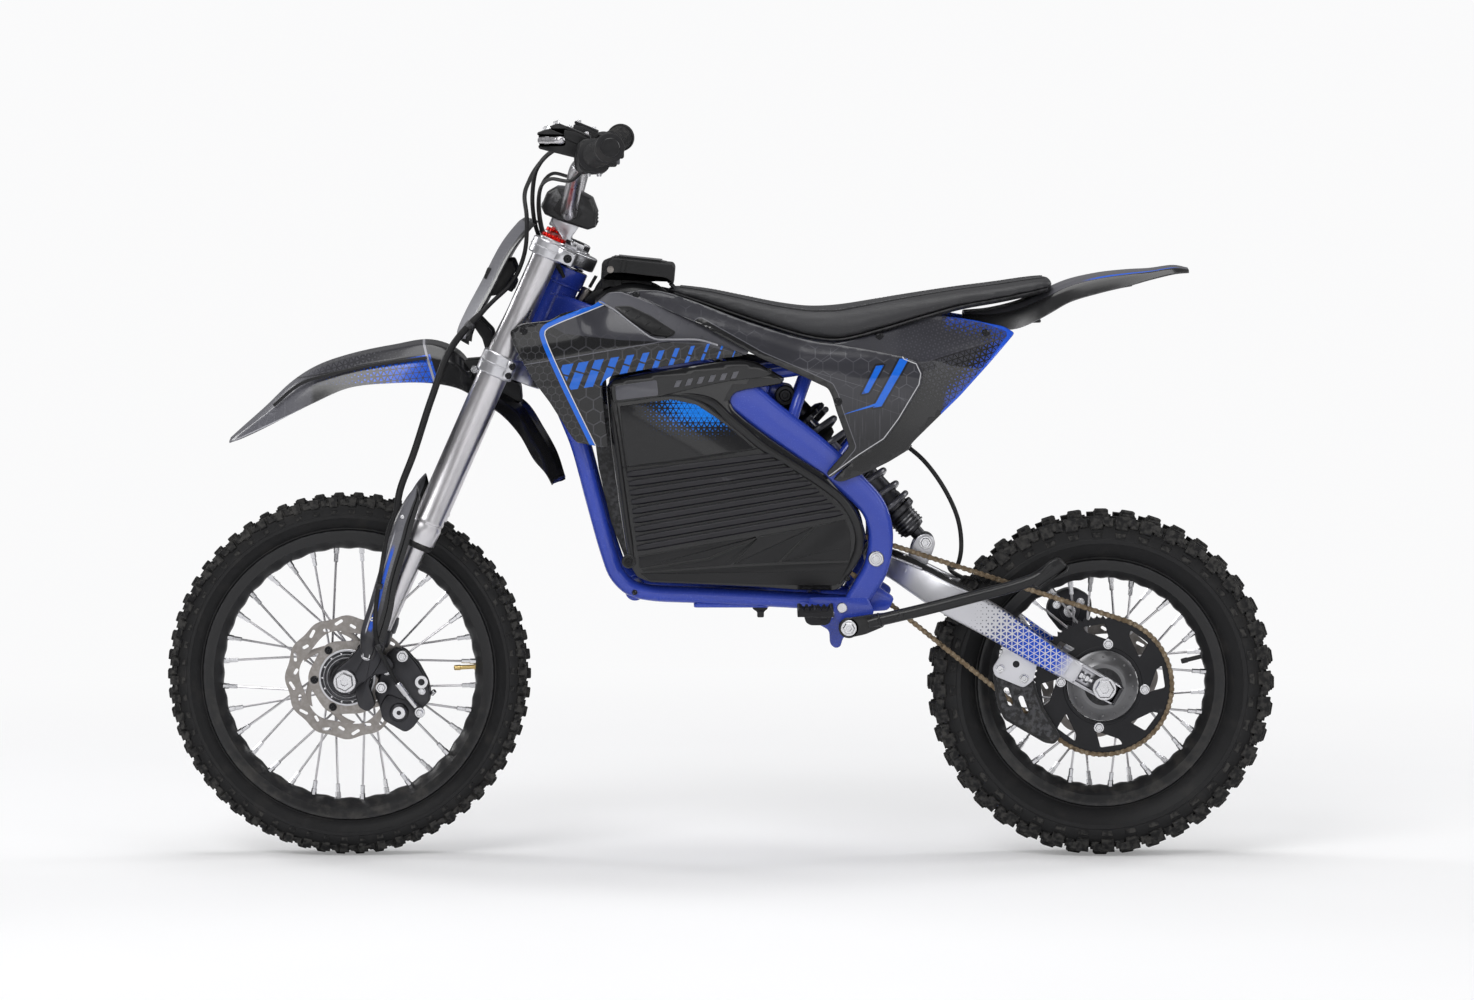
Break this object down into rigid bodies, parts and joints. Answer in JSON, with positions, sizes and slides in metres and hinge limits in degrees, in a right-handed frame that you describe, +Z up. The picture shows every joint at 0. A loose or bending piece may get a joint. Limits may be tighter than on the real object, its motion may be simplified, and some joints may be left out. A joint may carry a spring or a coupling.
{
  "type": "electric dirt bike",
  "caption": "Youth electric off-road motorcycle with telescopic fork, sprung swingarm, chain drive, knobbly tyres on spoked rims, side stand and folding footrests.",
  "frame": {"origin": "on the ground in the mid-plane, under the middle of the bike's overall length", "axes": "+Z up; the bike faces -X, its left side is -Y and its right side is +Y; the wheel axles lie along Y"},
  "size_m": [1.4758, 0.7462, 0.978],
  "materials": {
    "frame": "satin royal blue paint",
    "alloy": "satin",
    "dark_alloy": "black anodised",
    "steel": "brushed",
    "chain": "oiled, gold-brown",
    "tyre": "knobbly",
    "rubber": "matt",
    "vinyl": "black grained vinyl",
    "gloss": "gloss black",
    "grey_gloss": "satin grey",
    "matte": "matt black",
    "spring": "grey paint",
    "black_steel": "black paint"
  },
  "bodies": {
    "chassis": {"frame": "frame", "pivot_bolt": "steel", "battery_pack": "gloss", "motor": "dark_alloy", "controller": "dark_alloy", "case_left": "matte", "case_right": "matte", "shroud_left": "gloss", "shroud_right": "gloss", "tank_cover": "matte", "side_panel_left": "grey_gloss", "side_panel_right": "grey_gloss", "rear_plate_left": "gloss", "rear_plate_right": "gloss", "seat": "vinyl", "rear_fender": "gloss", "display_unit": "matte"},
    "steering": {"top_clamp": "alloy", "bottom_clamp": "alloy", "fork_outer_left": "alloy", "fork_outer_right": "alloy", "handlebar": "alloy", "bar_riser": "alloy", "bar_pad": "matte", "grip_left": "rubber", "perch_left": "black_steel", "perch_right": "black_steel", "front_fender": "gloss", "number_plate": "grey_gloss"},
    "fork_lower": {"fork_inner_left": "alloy", "fork_inner_right": "alloy", "fork_guard_left": "grey_gloss", "fork_guard_right": "grey_gloss", "front_axle": "steel", "front_caliper": "black_steel"},
    "front_wheel": {"front_tyre": "tyre", "front_rim": "dark_alloy", "front_hub": "alloy", "front_disc": "steel"},
    "throttle": {"throttle_grip": "rubber"},
    "rear_brake_lever": {"lever_left": "alloy"},
    "front_brake_lever": {"lever_right": "alloy"},
    "swingarm": {"swingarm": "alloy", "rear_axle": "steel", "chain": "chain", "chain_guide": "matte", "rear_caliper": "black_steel"},
    "rear_wheel": {"rear_tyre": "tyre", "rear_rim": "dark_alloy", "rear_hub": "alloy", "rear_sprocket": "black_steel", "rear_disc": "steel"},
    "drive_sprocket": {"drive_sprocket": "steel"},
    "shock_upper": {"shock_upper": "black_steel", "shock_spring": "spring"},
    "shock_lower": {"shock_lower": "black_steel"},
    "kickstand": {"kickstand": "black_steel"},
    "footrest_left": {"footpeg_left": "black_steel"},
    "footrest_right": {"footpeg_right": "black_steel"},
    "key": {"key": "matte"}
  },
  "joints": [
    {"name": "steer", "type": "hinge", "parent": "chassis", "child": "steering", "pos_m": [-0.452, 0, 0.22248], "axis": [0.4067, 0, 0.9135], "range_deg": [-36, 36]},
    {"name": "fork_slide", "type": "slide", "parent": "steering", "child": "fork_lower", "axis": [0.4067, 0, 0.9135], "range_m": [0, 0.1], "stiffness_N_per_m": 5200, "springref_m": -0.06},
    {"name": "front_wheel_spin", "type": "hinge", "parent": "fork_lower", "child": "front_wheel", "pos_m": [-0.49585, 0, 0.242], "axis": [0, 1, 0], "continuous": true},
    {"name": "throttle_twist", "type": "hinge", "parent": "steering", "child": "throttle", "pos_m": [-0.16165, 0.254, 0.9378], "axis": [0.191, 0.976, 0.1044], "range_deg": [0, 70], "stiffness_Nm_per_rad": 0.3, "springref_deg": -17.19},
    {"name": "rear_brake_pull", "type": "hinge", "parent": "steering", "child": "rear_brake_lever", "pos_m": [-0.22385, -0.226, 0.957], "axis": [0, 0, 1], "range_deg": [0, 14], "stiffness_Nm_per_rad": 4, "springref_deg": -5.73},
    {"name": "front_brake_pull", "type": "hinge", "parent": "steering", "child": "front_brake_lever", "pos_m": [-0.22385, 0.226, 0.957], "axis": [0, 0, -1], "range_deg": [0, 14], "stiffness_Nm_per_rad": 4, "springref_deg": -5.73},
    {"name": "swing", "type": "hinge", "parent": "chassis", "child": "swingarm", "pos_m": [0.20485, 0, 0.403], "axis": [0, -1, 0], "range_deg": [0, 14], "stiffness_Nm_per_rad": 420, "springref_deg": -13.75, "deforming": ["shock_spring", "chain"]},
    {"name": "rear_wheel_spin", "type": "hinge", "parent": "swingarm", "child": "rear_wheel", "pos_m": [0.50685, 0, 0.231], "axis": [0, 1, 0], "continuous": true},
    {"name": "motor_spin", "type": "hinge", "parent": "chassis", "child": "drive_sprocket", "pos_m": [0.13415, 0, 0.432], "axis": [0, 1, 0], "continuous": true},
    {"name": "shock_swing", "type": "hinge", "parent": "chassis", "child": "shock_upper", "pos_m": [0.08535, 0, 0.6156], "axis": [0, -1, 0], "range_deg": [0, 2]},
    {"name": "shock_slide", "type": "slide", "parent": "shock_upper", "child": "shock_lower", "axis": [-0.6892, 0, 0.7246], "range_m": [0, 0.016]},
    {"name": "stand_fold", "type": "hinge", "parent": "chassis", "child": "kickstand", "pos_m": [0.16865, -0.112, 0.3137], "axis": [0, 1, 0], "range_deg": [0, 105]},
    {"name": "footrest_fold_left", "type": "hinge", "parent": "chassis", "child": "footrest_left", "pos_m": [0.13615, -0.097, 0.33], "axis": [-1, 0, 0], "range_deg": [0, 50], "stiffness_Nm_per_rad": 0.6, "springref_deg": -22.92},
    {"name": "footrest_fold_right", "type": "hinge", "parent": "chassis", "child": "footrest_right", "pos_m": [0.13615, 0.097, 0.33], "axis": [1, 0, 0], "range_deg": [0, 50], "stiffness_Nm_per_rad": 0.6, "springref_deg": -22.92},
    {"name": "key_turn", "type": "hinge", "parent": "chassis", "child": "key", "pos_m": [-0.17885, 0, 0.75], "axis": [0.5, 0, 0.866], "range_deg": [0, 90]}
  ],
  "couplings": [
    {"joint": "motor_spin", "follows": "rear_wheel_spin", "ratio": 6},
    {"joint": "shock_swing", "follows": "swing", "ratio": 0.105},
    {"joint": "shock_slide", "follows": "swing", "m_per_rad": 0.063}
  ]
}
